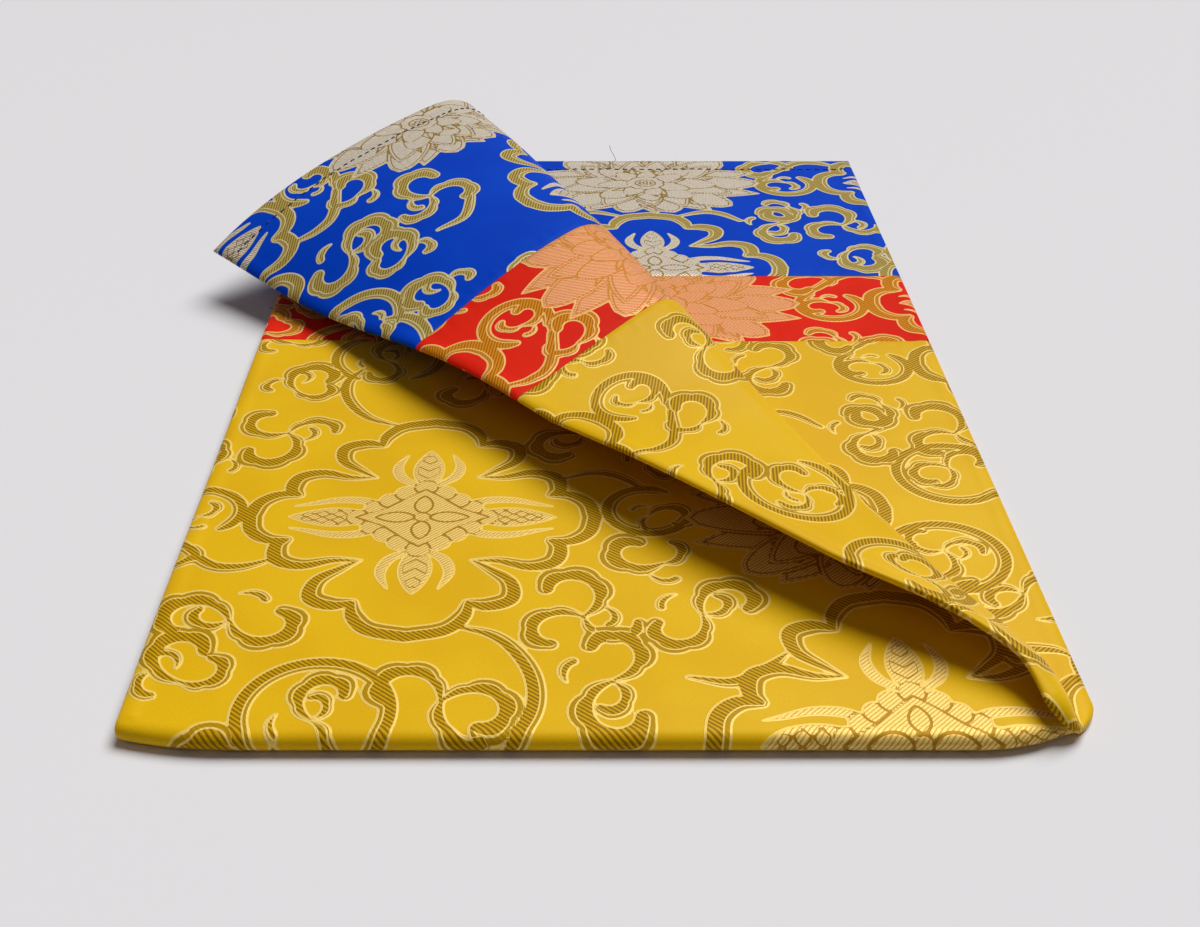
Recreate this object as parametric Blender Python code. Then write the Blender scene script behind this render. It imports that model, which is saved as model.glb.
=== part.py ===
"""A brocade panel, folded in half, with one side of its upper half turned over.

The cloth is double faced: two plies of the same figured brocade lie back to back with their right
sides out. Each ply is five strips sewn end to end: blue, red, yellow, red, blue. The panel is folded
once across its middle. The lower half lies flat, the upper half lies on it, and the right side of the
upper half is turned over to the left along a soft diagonal roll that starts at the front right corner.

One formula folds everything. A place on the flat cloth is given by
    s  the distance from the right edge, 0 to WIDTH, and
    t  the distance from the front fold, negative on the lower half and positive on the upper half.
fold() gives its place in space. Each strip is a flat slab that is cut, then folded by that formula.
"""

from collections import namedtuple

import bmesh
import bpy
import numpy as np

# ---------------------------------------------------------------- driving sizes, in metres
WIDTH = 0.2580
# distances from the front fold, which lies a few millimetres off the middle of the panel
LOWER_CENTRE_SEAM = 0.2235
LOWER_BORDER_SEAM = 0.2830
LOWER_HEM = 0.4190
UPPER_CENTRE_SEAM = 0.2175
UPPER_BORDER_SEAM = 0.2770
UPPER_HEM = 0.4130

PLY = 0.0010
PLY_GAP = 0.0003
SEAM_GAP = 0.0003
LAYER = 2 * PLY + PLY_GAP
LAYER_GAP = 0.0009

LOWER_MID = LAYER / 2
UPPER_MID = LOWER_MID + LAYER + LAYER_GAP

# place of the flat front right corner, so that the origin is under the middle of the whole
CORNER = (0.14284, -0.20612)

# ---------------------------------------------------------------- the diagonal roll
# The crease starts CREASE_START in front of the front fold, on the line of the right edge.
CREASE_START = 0.0356
CREASE_SLOPE = 0.4936
ROLL_EASE = 0.5

# along: distance from the start of the crease; inset: how far the roll stands to the right of the
# straight crease; arc: cloth taken up by the roll there; turn: degrees through which the cloth has
# turned when it reaches the free edge
Roll = namedtuple("Roll", "along inset arc turn")
ROLLS = (
    Roll(0.025, 0.0018, 0.0075, 207.0),
    Roll(0.060, 0.0086, 0.0130, 151.0),
    Roll(0.110, 0.0063, 0.0174, 164.0),
    Roll(0.180, 0.0063, 0.0266, 174.0),
    Roll(0.260, 0.0030, 0.0492, 191.0),
    Roll(0.340, 0.0018, 0.0635, 208.0),
    Roll(0.420, 0.0033, 0.0713, 200.0),
    Roll(0.490, 0.0018, 0.0766, 221.0),
)
SECTION_STEPS = 48

# ---------------------------------------------------------------- the front fold
# from_edge: distance from the right edge; take: cloth on each side of the fold that bends;
# reach: how far the bend swells, as a share of the cloth in it
Bend = namedtuple("Bend", "from_edge take reach")
BENDS = (
    Bend(0.000, 0.0138, 0.98),
    Bend(0.010, 0.0105, 0.98),
    Bend(0.020, 0.0069, 1.35),
    Bend(0.034, 0.0033, 1.57),
    Bend(WIDTH, 0.0032, 1.57),
)
FOLD_SHORTENING = 0.0009

# the edge of the cloth is pressed down and forward where it goes round the front right corner
CORNER_PULL = (0.0000, -0.0016, -0.0030)
CORNER_PULL_ACROSS = 0.0090
CORNER_PULL_ALONG = 0.0070

# the front fold bows forward between its corners, fading along the cloth
BOW = 0.0045
BOW_CORNER = 0.0300
BOW_FADE = 0.0600

# the upper half is not quite flat: low swells across and along it
Swell = namedtuple("Swell", "across along width length height")
SWELLS = (
    Swell(0.245, 0.060, 0.030, 0.050, 0.0009),
    Swell(0.250, 0.200, 0.025, 0.045, 0.0007),
    Swell(0.190, 0.020, 0.050, 0.018, 0.0005),
    Swell(0.100, 0.018, 0.040, 0.016, 0.0006),
    Swell(0.170, 0.120, 0.050, 0.050, 0.0005),
)

# ---------------------------------------------------------------- colours
YELLOW = (0.80, 0.52, 0.02, 1.0)
RED = (0.75, 0.03, 0.02, 1.0)
BLUE = (0.01, 0.05, 0.55, 1.0)
SATIN_ROUGHNESS = 0.38


def smooth_read(table, key, column, at):
    """Reads a column of a table at any place, on a smooth curve that never swings past its rows."""
    places = np.array([getattr(row, key) for row in table])
    values = np.array([getattr(row, column) for row in table])
    climbs = np.diff(values) / np.diff(places)
    before, after = climbs[:-1], climbs[1:]
    level = before * after <= 0
    slopes = np.where(level, 0, 2 * before * after / np.where(level, 1, before + after))
    slopes = np.concatenate([climbs[:1], slopes, climbs[-1:]])
    at = np.clip(at, places[0], places[-1])
    cell = np.clip(np.searchsorted(places, at, side="right") - 1, 0, len(places) - 2)
    step = places[cell + 1] - places[cell]
    u = (at - places[cell]) / step
    start = (1 + 2 * u) * (1 - u) ** 2 * values[cell] + u * (1 - u) ** 2 * step * slopes[cell]
    stop = u * u * (3 - 2 * u) * values[cell + 1] + u * u * (u - 1) * step * slopes[cell + 1]
    return start + stop


def roll_section(past, width, arc, turn):
    """Place (out, up) after a length `past` of cloth beyond the crease, in the roll's own section."""
    first_turn = np.minimum(turn, np.pi)
    flap = np.maximum(width - arc, 1e-6)
    out = np.zeros_like(past)
    up = np.zeros_like(past)
    for step in range(SECTION_STEPS):
        here = past * (step + 0.5) / SECTION_STEPS
        share = np.clip(here / arc, 0, 1)
        share = share - ROLL_EASE * np.sin(2 * np.pi * share) / (2 * np.pi)
        heading = first_turn * share + (turn - first_turn) * np.clip((here - arc) / flap, 0, 1)
        out += np.cos(heading) * past / SECTION_STEPS
        up += np.sin(heading) * past / SECTION_STEPS
    return out, up


def upper_half(s, t):
    """Upper half: flat as far as the crease, then rolled up and over to the left."""
    angle = np.arctan(CREASE_SLOPE)
    sine, cosine = np.sin(angle), np.cos(angle)
    ahead = t + CREASE_START
    along = s * sine + ahead * cosine
    inset = smooth_read(ROLLS, "along", "inset", along)
    past = -s * cosine + ahead * sine - inset
    width = along * CREASE_SLOPE - inset
    arc = smooth_read(ROLLS, "along", "arc", along)
    turn = np.radians(smooth_read(ROLLS, "along", "turn", along))
    out, up = roll_section(np.maximum(past, 0), width, arc, turn)
    out = np.where(past > 0, out, past) + inset
    rise = np.zeros_like(s)
    for swell in SWELLS:
        spread = ((s - swell.across) / swell.width) ** 2 + ((t - swell.along) / swell.length) ** 2
        rise += swell.height * np.exp(-spread)
    x = -along * sine + out * cosine
    y = along * cosine + out * sine - CREASE_START - FOLD_SHORTENING
    return np.stack([x, y, up + rise + UPPER_MID], axis=-1)


def lower_half(s, t):
    """Lower half: flat on what it rests on."""
    return np.stack([-s, -t - FOLD_SHORTENING, np.full_like(s, LOWER_MID)], axis=-1)


def fold(s, t):
    """Folds a place of the flat cloth: the middle of the two plies, before CORNER is added."""
    s, t = np.broadcast_arrays(np.asarray(s, float), np.asarray(t, float))
    take = smooth_read(BENDS, "from_edge", "take", s)
    reach = smooth_read(BENDS, "from_edge", "reach", s)
    nudge = 1e-5
    start = lower_half(s, np.minimum(t, -take))
    stop = upper_half(s, np.maximum(t, take))
    go_in = (lower_half(s, -take) - lower_half(s, -take - nudge)) / nudge
    come_out = (upper_half(s, take + nudge) - upper_half(s, take)) / nudge
    u = np.clip((t + take) / (2 * take), 0, 1)[..., None]
    swell = (2 * take * reach)[..., None]
    bend = (1 + 2 * u) * (1 - u) ** 2 * lower_half(s, -take) + u * (1 - u) ** 2 * swell * go_in
    bend += u * u * (3 - 2 * u) * upper_half(s, take) + u * u * (u - 1) * swell * come_out
    place = np.where((t <= -take)[..., None], start, np.where((t >= take)[..., None], stop, bend))
    pull = np.exp(-((s / CORNER_PULL_ACROSS) ** 2) - (t / CORNER_PULL_ALONG) ** 2)
    place = place + pull[..., None] * np.array(CORNER_PULL)
    place[..., 2] = np.maximum(place[..., 2], LOWER_MID)
    ends = np.clip(s / BOW_CORNER, 0, 1) * np.clip((WIDTH - s) / BOW_CORNER, 0, 1)
    bow = BOW * ends * (2 - ends) * np.exp(-np.abs(t) / BOW_FADE)
    return place - bow[..., None] * np.array((0.0, 1.0, 0.0))


def fold_off(s, t, off):
    """A place at a distance `off` from the middle: positive on the face, negative on the reverse."""
    nudge = 1e-4
    across = fold(s + nudge, t) - fold(s - nudge, t)
    onward = fold(s, t + nudge) - fold(s, t - nudge)
    normal = np.cross(onward, across)
    normal /= np.linalg.norm(normal, axis=-1, keepdims=True)
    place = fold(s, t) + normal * np.asarray(off)[..., None]
    place[..., :2] += CORNER
    return place


# ---------------------------------------------------------------- the net on which the cloth bends
# Columns follow the rays of the roll, closest together in it, and then spread to the left edge.
LAST_RAY = 0.500
RAYS = (0.000, 0.060, 0.120, 0.180, 0.235, 0.280, 0.315, 0.345, 0.370, 0.395, 0.420, 0.440, 0.460, 0.480, LAST_RAY)
BEYOND = (0.030, 0.065, 0.130, 0.260, 0.480, 0.740, 1.000)
# Rows are closest together round the front fold.
FOLD_ROWS = (0.0011, 0.0022, 0.0034, 0.0055, 0.0085, 0.0125, 0.0175, 0.0240, 0.0340)
UPPER_ROWS = (0.0500, 0.0750, 0.1100, 0.1500, 0.1900)
LOWER_ROWS = (0.0700, 0.1450)
RED_ROWS = 2
BLUE_ROWS = 4


def column_place(columns, t):
    """Distances from the right edge of columns of the net, at the rows t."""
    rays = np.array(RAYS + (LAST_RAY,) * len(BEYOND))[columns]
    beyond = np.array((0.0,) * len(RAYS) + BEYOND)[columns]
    last = rays * (CREASE_START + np.maximum(t, 0))
    return last + beyond * (WIDTH - last)


def rows_between(first, last, count):
    return tuple(first + (last - first) * k / count for k in range(count + 1))


def strip_rows(name):
    """The rows of each strip, from its one seam or end to the other."""
    half = SEAM_GAP / 2
    if name == "centre":
        lower = (half - LOWER_CENTRE_SEAM,) + tuple(-r for r in reversed(FOLD_ROWS + LOWER_ROWS))
        return lower + (0.0,) + FOLD_ROWS + UPPER_ROWS + (UPPER_CENTRE_SEAM - half,)
    if name == "lower_red":
        return (half - LOWER_BORDER_SEAM, -half - LOWER_CENTRE_SEAM)
    if name == "lower_blue":
        return (-LOWER_HEM, -half - LOWER_BORDER_SEAM)
    if name == "upper_red":
        return rows_between(UPPER_CENTRE_SEAM + half, UPPER_BORDER_SEAM - half, RED_ROWS)
    return rows_between(UPPER_BORDER_SEAM + half, UPPER_HEM, BLUE_ROWS)


def add_strip(collection, node, rows, first_off, last_off, colour):
    """Cuts one strip of one ply as a flat slab on the net, then folds it."""
    columns = len(RAYS) + len(BEYOND)
    bm = bmesh.new()
    bmesh.ops.create_grid(bm, x_segments=columns - 1, y_segments=len(rows) - 1, size=0.5)
    bmesh.ops.triangulate(bm, faces=bm.faces[:], quad_method="FIXED")
    grown = bmesh.ops.extrude_face_region(bm, geom=bm.faces[:], use_keep_orig=True)
    risen = {item for item in grown["geom"] if isinstance(item, bmesh.types.BMVert)}
    verts = list(bm.verts)
    flat = np.array([vert.co for vert in verts]) + 0.5
    t = np.array(rows)[np.rint(flat[:, 1] * (len(rows) - 1)).astype(int)]
    s = column_place(np.rint(flat[:, 0] * (columns - 1)).astype(int), t)
    off = np.array([last_off if vert in risen else first_off for vert in verts])
    for vert, place in zip(verts, fold_off(s, t, off)):
        vert.co = place
    bmesh.ops.recalc_face_normals(bm, faces=bm.faces[:])
    mesh = bpy.data.meshes.new(node)
    bm.to_mesh(mesh)
    bm.free()
    mesh.shade_smooth()
    strip = bpy.data.objects.new(node, mesh)
    strip.data.materials.append(satin(node, colour))
    collection.objects.link(strip)
    return strip


def satin(name, colour):
    """A plain satin of one colour."""
    material = bpy.data.materials.new(name)
    material.use_nodes = True
    shader = material.node_tree.nodes["Principled BSDF"]
    shader.inputs["Base Color"].default_value = colour
    shader.inputs["Roughness"].default_value = SATIN_ROUGHNESS
    shader.inputs["Metallic"].default_value = 0.0
    material.diffuse_color = colour
    return material


STRIPS = (
    ("centre", YELLOW),
    ("upper_red", RED),
    ("upper_blue", BLUE),
    ("lower_red", RED),
    ("lower_blue", BLUE),
)
# each ply lies between two distances from the middle of the cloth
PLIES = (
    ("face", PLY_GAP / 2, PLY_GAP / 2 + PLY),
    ("reverse", -PLY_GAP / 2 - PLY, -PLY_GAP / 2),
)


def main():
    for thing in list(bpy.data.objects):
        bpy.data.objects.remove(thing, do_unlink=True)
    collection = bpy.data.collections.new("brocade_panel")
    bpy.context.scene.collection.children.link(collection)
    for ply, first_off, last_off in PLIES:
        for strip, colour in STRIPS:
            add_strip(collection, f"{ply}_{strip}", strip_rows(strip), first_off, last_off, colour)


main()
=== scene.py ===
# %% [markdown]
# # A double-faced brocade panel, folded, with one side turned over
#
# The panel is two plies of figured satin laid back to back, each sewn from five strips: blue,
# red, yellow, red, blue. It is folded once across its middle, and the right side of the upper
# half is turned over to the left in a soft diagonal roll. The frame holds the same cloth as plain
# slabs. Here each slab gets a fine sheet on the same folds, with rolled edges, seams, woven
# figures and stitching.

from collections import namedtuple

import bmesh
import bpy
import numpy as np
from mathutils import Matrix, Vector


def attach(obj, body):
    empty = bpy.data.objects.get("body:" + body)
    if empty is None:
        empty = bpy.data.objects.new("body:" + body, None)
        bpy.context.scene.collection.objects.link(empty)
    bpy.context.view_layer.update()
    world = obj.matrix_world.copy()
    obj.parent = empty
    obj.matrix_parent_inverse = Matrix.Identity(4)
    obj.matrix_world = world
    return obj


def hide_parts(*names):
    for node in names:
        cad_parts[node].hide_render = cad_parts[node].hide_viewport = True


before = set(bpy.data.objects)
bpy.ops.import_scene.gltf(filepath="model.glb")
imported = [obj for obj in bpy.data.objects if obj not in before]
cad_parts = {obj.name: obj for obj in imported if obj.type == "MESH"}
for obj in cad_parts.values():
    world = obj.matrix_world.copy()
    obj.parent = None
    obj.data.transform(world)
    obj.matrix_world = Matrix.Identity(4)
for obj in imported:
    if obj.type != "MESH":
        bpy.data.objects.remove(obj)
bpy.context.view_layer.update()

# %% [markdown]
# ## The fold
#
# A cloth could be draped by simulation, but the folds are known and simple, so a formula is
# surer: each place on the flat cloth has one place in space. `s` is the distance from the right
# edge and `t` the distance from the front fold, negative on the lower half. The roll is a
# cone-like curl along a diagonal crease, the front fold a soft bend. The same formula folds the
# solid cloth, so the two agree.

# %% Sizes of the cloth
WIDTH = 0.2580
LOWER_CENTRE_SEAM, LOWER_BORDER_SEAM, LOWER_HEM = 0.2235, 0.2830, 0.4190
UPPER_CENTRE_SEAM, UPPER_BORDER_SEAM, UPPER_HEM = 0.2175, 0.2770, 0.4130
PLY, PLY_GAP, LAYER_GAP = 0.0010, 0.0003, 0.0009
LOWER_MID = PLY + PLY_GAP / 2
UPPER_MID = LOWER_MID + 2 * PLY + PLY_GAP + LAYER_GAP
# where the front right corner lies on the table
CORNER = (0.14284, -0.20612)
print("flat cloth", WIDTH, "by", round(LOWER_HEM + UPPER_HEM, 4))

# %% The diagonal roll
# the crease starts this far in front of the fold and leans this much to the left
CREASE_START, CREASE_SLOPE = 0.0356, 0.4936
ROLL_EASE, SECTION_STEPS = 0.5, 40
# along the crease: where the curl begins, how much cloth it takes, and how far it turns
Roll = namedtuple("Roll", "along inset arc turn")
ROLLS = (
    Roll(0.025, 0.0018, 0.0075, 207.0),
    Roll(0.060, 0.0086, 0.0130, 151.0),
    Roll(0.110, 0.0063, 0.0174, 164.0),
    Roll(0.180, 0.0063, 0.0266, 174.0),
    Roll(0.260, 0.0030, 0.0492, 191.0),
    Roll(0.340, 0.0018, 0.0635, 208.0),
    Roll(0.420, 0.0033, 0.0713, 200.0),
    Roll(0.490, 0.0018, 0.0766, 221.0),
)
print("the roll turns", ROLLS[0].turn, "to", ROLLS[-1].turn, "degrees")

# %% The front fold and the soft swells
# at a distance from the right edge: how much cloth the bend takes each way, and how full it is
Bend = namedtuple("Bend", "from_edge take reach")
BENDS = (
    Bend(0.000, 0.0138, 0.98),
    Bend(0.010, 0.0105, 0.98),
    Bend(0.020, 0.0069, 1.35),
    Bend(0.034, 0.0033, 1.57),
    Bend(WIDTH, 0.0032, 1.57),
)
FOLD_SHORTENING = 0.0009
# the tip of the corner is pulled forward and down, and the front edge bows forward in its middle
CORNER_PULL, CORNER_PULL_ACROSS, CORNER_PULL_ALONG = (0.0000, -0.0016, -0.0030), 0.0090, 0.0070
BOW, BOW_CORNER, BOW_FADE = 0.0045, 0.0300, 0.0600
Swell = namedtuple("Swell", "across along width length height")
SWELLS = (
    Swell(0.245, 0.060, 0.030, 0.050, 0.0009),
    Swell(0.250, 0.200, 0.025, 0.045, 0.0007),
    Swell(0.190, 0.020, 0.050, 0.018, 0.0005),
    Swell(0.100, 0.018, 0.040, 0.016, 0.0006),
    Swell(0.170, 0.120, 0.050, 0.050, 0.0005),
)
print("swells", len(SWELLS))


# %% Read a table, and roll up a section
def smooth_read(table, key, column, at):
    """A column of a table between its rows, without overshoot."""
    places = np.array([getattr(row, key) for row in table])
    values = np.array([getattr(row, column) for row in table])
    climbs = np.diff(values) / np.diff(places)
    before, after = climbs[:-1], climbs[1:]
    level = before * after <= 0
    slopes = np.where(level, 0, 2 * before * after / np.where(level, 1, before + after))
    slopes = np.concatenate([climbs[:1], slopes, climbs[-1:]])
    at = np.clip(at, places[0], places[-1])
    cell = np.clip(np.searchsorted(places, at, side="right") - 1, 0, len(places) - 2)
    step = places[cell + 1] - places[cell]
    u = (at - places[cell]) / step
    start = (1 + 2 * u) * (1 - u) ** 2 * values[cell] + u * (1 - u) ** 2 * step * slopes[cell]
    stop = u * u * (3 - 2 * u) * values[cell + 1] + u * u * (u - 1) * step * slopes[cell + 1]
    return start + stop


def roll_section(past, width, arc, turn):
    """How far out and up the cloth gets that runs past the crease."""
    first_turn = np.minimum(turn, np.pi)
    flap = np.maximum(width - arc, 1e-6)
    out, up = np.zeros_like(past), np.zeros_like(past)
    for step in range(SECTION_STEPS):
        here = past * (step + 0.5) / SECTION_STEPS
        share = np.clip(here / arc, 0, 1)
        share = share - ROLL_EASE * np.sin(2 * np.pi * share) / (2 * np.pi)
        heading = first_turn * share + (turn - first_turn) * np.clip((here - arc) / flap, 0, 1)
        out += np.cos(heading) * past / SECTION_STEPS
        up += np.sin(heading) * past / SECTION_STEPS
    return out, up


# %% Fold a place of the flat cloth
def upper_half(s, t):
    angle = np.arctan(CREASE_SLOPE)
    sine, cosine = np.sin(angle), np.cos(angle)
    ahead = t + CREASE_START
    along = s * sine + ahead * cosine
    inset = smooth_read(ROLLS, "along", "inset", along)
    past = -s * cosine + ahead * sine - inset
    width = along * CREASE_SLOPE - inset
    out, up = past.copy(), np.zeros_like(past)
    turned = past > 0
    arc = smooth_read(ROLLS, "along", "arc", along[turned])
    turn = np.radians(smooth_read(ROLLS, "along", "turn", along[turned]))
    out[turned], up[turned] = roll_section(past[turned], width[turned], arc, turn)
    out = out + inset
    rise = np.zeros_like(s)
    for swell in SWELLS:
        spread = ((s - swell.across) / swell.width) ** 2 + ((t - swell.along) / swell.length) ** 2
        rise += swell.height * np.exp(-spread)
    x = -along * sine + out * cosine
    y = along * cosine + out * sine - CREASE_START - FOLD_SHORTENING
    return np.stack([x, y, up + rise + UPPER_MID], axis=-1)


def lower_half(s, t):
    return np.stack([-s, -t - FOLD_SHORTENING, np.full_like(s, LOWER_MID)], axis=-1)


def fold(s, t):
    """The two halves, with the bend between them where the cloth is near the front."""
    s, t = (x.copy() for x in np.broadcast_arrays(np.asarray(s, float), np.asarray(t, float)))
    take = smooth_read(BENDS, "from_edge", "take", s)
    reach = smooth_read(BENDS, "from_edge", "reach", s)
    place = lower_half(s, t)
    high = t >= take
    place[high] = upper_half(s[high], t[high])
    bends = np.abs(t) < take
    s_, t_, take_, reach_ = s[bends], t[bends], take[bends], reach[bends]
    nudge = 1e-5
    begin, end = lower_half(s_, -take_), upper_half(s_, take_)
    go_in = (begin - lower_half(s_, -take_ - nudge)) / nudge
    come_out = (upper_half(s_, take_ + nudge) - end) / nudge
    u = ((t_ + take_) / (2 * take_))[..., None]
    swell = (2 * take_ * reach_)[..., None]
    bend = (1 + 2 * u) * (1 - u) ** 2 * begin + u * (1 - u) ** 2 * swell * go_in
    place[bends] = bend + u * u * (3 - 2 * u) * end + u * u * (u - 1) * swell * come_out
    pull = np.exp(-((s / CORNER_PULL_ACROSS) ** 2) - (t / CORNER_PULL_ALONG) ** 2)
    place = place + pull[..., None] * np.array(CORNER_PULL)
    place[..., 2] = np.maximum(place[..., 2], LOWER_MID)
    ends = np.clip(s / BOW_CORNER, 0, 1) * np.clip((WIDTH - s) / BOW_CORNER, 0, 1)
    bow = BOW * ends * (2 - ends) * np.exp(-np.abs(t) / BOW_FADE)
    return place - bow[..., None] * np.array((0.0, 1.0, 0.0))


def fold_off(s, t, off):
    """A place at a height off the middle of the cloth, in the frame's own axes."""
    nudge = 1e-4
    across = fold(s + nudge, t) - fold(s - nudge, t)
    onward = fold(s, t + nudge) - fold(s, t - nudge)
    normal = np.cross(onward, across)
    normal /= np.maximum(np.linalg.norm(normal, axis=-1, keepdims=True), 1e-12)
    place = fold(s, t) + normal * np.asarray(off)[..., None]
    place[..., :2] += CORNER
    return place


print("ridge at the hem", fold_off(np.array([0.15]), np.array([0.41]), np.array([0.0])).round(4))

# %% [markdown]
# ## The woven figures
#
# The figures repeat over the cloth, so one repeat is drawn, as curves in millimetres. Four kinds
# of mark make it: cloud frames and vine ribbons that taper like brush strokes, curled cloud
# hooks, lotus flowers, and crossed ornaments inside the frames. Each mark is kept as signed
# distances to its edges. Distances stay smooth, so vertices nearly a millimetre apart can carry
# hair-fine outlines.

# %% The repeat and the fields drawn in it
CELL = 0.5
REPEAT = np.array([274.0, 194.0])
CELLS = np.rint(REPEAT / CELL).astype(int)
FIELDS = ("band", "vein", "bloom", "rim", "line")
# what each field holds where nothing is drawn
FAR = {"band": 9.0, "vein": -3.0, "bloom": 9.0, "rim": 2.5, "line": 2.0}
BAND_MARGIN, BLOOM_MARGIN = 5, 4
repeat = {}
print("cells in the repeat", CELLS)


def window(points, margin):
    """The cells of the repeat round some points, and the cells' places."""
    low = np.floor((points.min(0) - margin) / CELL).astype(int)
    high = np.ceil((points.max(0) + margin) / CELL).astype(int)
    i, j = np.arange(low[0], high[0] + 1), np.arange(low[1], high[1] + 1)
    place = np.stack(np.meshgrid(i * CELL, j * CELL, indexing="ij"), -1)
    return np.ix_(i % CELLS[0], j % CELLS[1]), place


def through(points, steps=8):
    """A smooth line through points, with as many columns as they have."""
    p = np.array(points, float)
    p = np.vstack([2 * p[0] - p[1], p, 2 * p[-1] - p[-2]])
    u = np.linspace(0, 1, steps, endpoint=False)[:, None]
    rows = []
    for a, b, c, d in zip(p[:-3], p[1:-2], p[2:-1], p[3:]):
        square, cube = 2 * a - 5 * b + 4 * c - d, 3 * b - a - 3 * c + d
        rows.append(0.5 * (2 * b + (c - a) * u + square * u * u + cube * u**3))
    return np.vstack(rows + [p[-2:-1]])


def nearest(place, line):
    """Distance from each place to each piece of a line, the share along it, and the side."""
    start, step = line[:-1, :2], np.diff(line[:, :2], axis=0)
    gap = place[..., None, :] - start
    along = np.clip((gap * step).sum(-1) / np.maximum((step**2).sum(-1), 1e-9), 0, 1)
    off = gap - along[..., None] * step
    side = np.sign(step[:, 0] * gap[..., 1] - step[:, 1] * gap[..., 0])
    return np.hypot(off[..., 0], off[..., 1]), along, side


# %% Draw a hatched band or a pale shape
# the band's inner line, as a share of its half width off its middle
VEIN_AT = 0.42


def draw_band(line, side=1):
    """A ribbon along a line of (x, y, half width). Its inner line runs on one side."""
    here, place = window(line[:, :2], line[:, 2].max() + BAND_MARGIN)
    away, along, hand = nearest(place, line)
    reach = line[:-1, 2] + along * np.diff(line[:, 2])
    pick = (away - reach).argmin(-1)[..., None]
    away, reach, hand = (np.take_along_axis(x, pick, -1)[..., 0] for x in (away, reach, hand))
    out, band = away - reach, repeat["band"][here]
    closer = out < band
    repeat["band"][here] = np.where(closer, out, band)
    vein = side * hand * away - VEIN_AT * reach
    repeat["vein"][here] = np.where(closer, vein, repeat["vein"][here])


def shape_distance(place, outline):
    """Signed distance to a closed outline, negative inside."""
    ring = np.vstack([outline, outline[:1]])
    away = nearest(place, ring)[0].min(-1)
    inside = np.zeros(place.shape[:2], bool)
    for a, b in zip(ring[:-1], ring[1:]):
        spans = (a[1] > place[..., 1]) != (b[1] > place[..., 1])
        cross = a[0] + (place[..., 1] - a[1]) / (b[1] - a[1] + 1e-12) * (b[0] - a[0])
        inside ^= spans & (place[..., 0] < cross)
    return np.where(inside, -away, away)


def draw_bloom(outline, sign, lines=None):
    """A pale shape laid over those before it. Neighbours take turns at sign 1 and -1."""
    here, place = window(outline, BLOOM_MARGIN)
    d = shape_distance(place, outline)
    inside, rim = d < 0, repeat["rim"][here]
    repeat["bloom"][here] = np.minimum(repeat["bloom"][here], d)
    near = np.where(rim < 0, -1, 1) * np.minimum(np.abs(rim), np.maximum(d, 0))
    repeat["rim"][here] = np.where(inside, sign * np.minimum(-d, FAR["rim"]), near)
    own = lines(place, d) if lines else np.full(d.shape, FAR["line"])
    repeat["line"][here] = np.where(inside, own, repeat["line"][here])


# %% [markdown]
# ## Clouds, frames and rings
#
# The hatched figures are brush strokes. A curl starts thin, swells and winds up, and a cloud is
# three or four curls from one root. A frame is eight strokes, a quarter of it mirrored twice.
# Drawing each stroke as a line with a width keeps the whole design to a few short tables.

# %% Curls
def turned(points, at, angle, flip=1):
    """Points turned, mirrored if flip is -1, and moved, with any further columns kept."""
    p = np.array(points, float)
    c, s = np.cos(np.radians(angle)), np.sin(np.radians(angle))
    x, y = p[:, 0] * flip, p[:, 1].copy()
    p[:, 0], p[:, 1] = at[0] + c * x - s * y, at[1] + s * x + c * y
    return p


Curl = namedtuple("Curl", "x y heading length turn half lobes")
CURL_POINTS, CURL_WINDING = 34, 1.35
ROOT_WIDTH, WIDEST_AT = 0.3, 0.72
LOBE_HEIGHT, LOBE_ROUND = 0.38, 0.7


def curl_line(c):
    """The line of a curl, with lobes on its outer side, as rows of (x, y, half width)."""
    share = np.linspace(0, 1, CURL_POINTS)
    angle = np.radians(c.heading + c.turn * share**CURL_WINDING)
    step = np.stack([np.cos(angle), np.sin(angle)], 1) * c.length / (CURL_POINTS - 1)
    line = np.array([c.x, c.y]) + np.cumsum(step, 0) - step
    swell = np.sin(np.pi * np.minimum(share, WIDEST_AT) / (2 * WIDEST_AT))
    body = c.half * (ROOT_WIDTH + (1 - ROOT_WIDTH) * swell)
    fade = np.clip(4 * share, 0, 1) * np.clip(7 * (1 - share), 0, 1) * min(c.lobes, 1)
    bump = LOBE_HEIGHT * c.half * np.abs(np.sin(c.lobes * np.pi * share)) ** LOBE_ROUND * fade
    outward = np.stack([np.sin(angle), -np.cos(angle)], 1) * np.sign(c.turn)
    return np.column_stack([line + outward * bump[:, None], body + bump])


# %% The kinds of cloud
CLOUDS = {
    "ess": (
        Curl(0, 0, 80, 41, -238, 3.0, 4),
        Curl(0, 0, 262, 37, -228, 2.8, 4),
        Curl(1, 0, -25, 17, 170, 1.9, 2),
        Curl(-4, 13, 175, 10, 90, 1.7, 0),
    ),
    "hook": (
        Curl(0, 0, 105, 45, -250, 3.1, 4),
        Curl(0, 1, -80, 25, 190, 2.3, 3),
        Curl(-3, 11, 165, 14, 150, 1.8, 2),
        Curl(4, 6, 20, 12, 140, 1.8, 0),
    ),
    "head": (
        Curl(0, 0, 114, 39, 238, 2.8, 4),
        Curl(0, 0, 66, 39, -238, 2.8, 4),
        Curl(0, 2, -85, 26, 130, 2.2, 2),
    ),
    "leafy": (
        Curl(0, 0, 20, 42, 225, 3.0, 4),
        Curl(0, 0, 128, 33, 205, 2.6, 3),
        Curl(0, 0, -100, 27, 165, 2.2, 3),
        Curl(8, 2, -50, 12, -130, 1.8, 0),
    ),
    "comma": (
        Curl(0, 0, 60, 33, -235, 2.9, 3),
        Curl(0, 0, 225, 16, 140, 1.8, 2),
        Curl(1, 7, 150, 10, 110, 1.6, 0),
    ),
}


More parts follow.
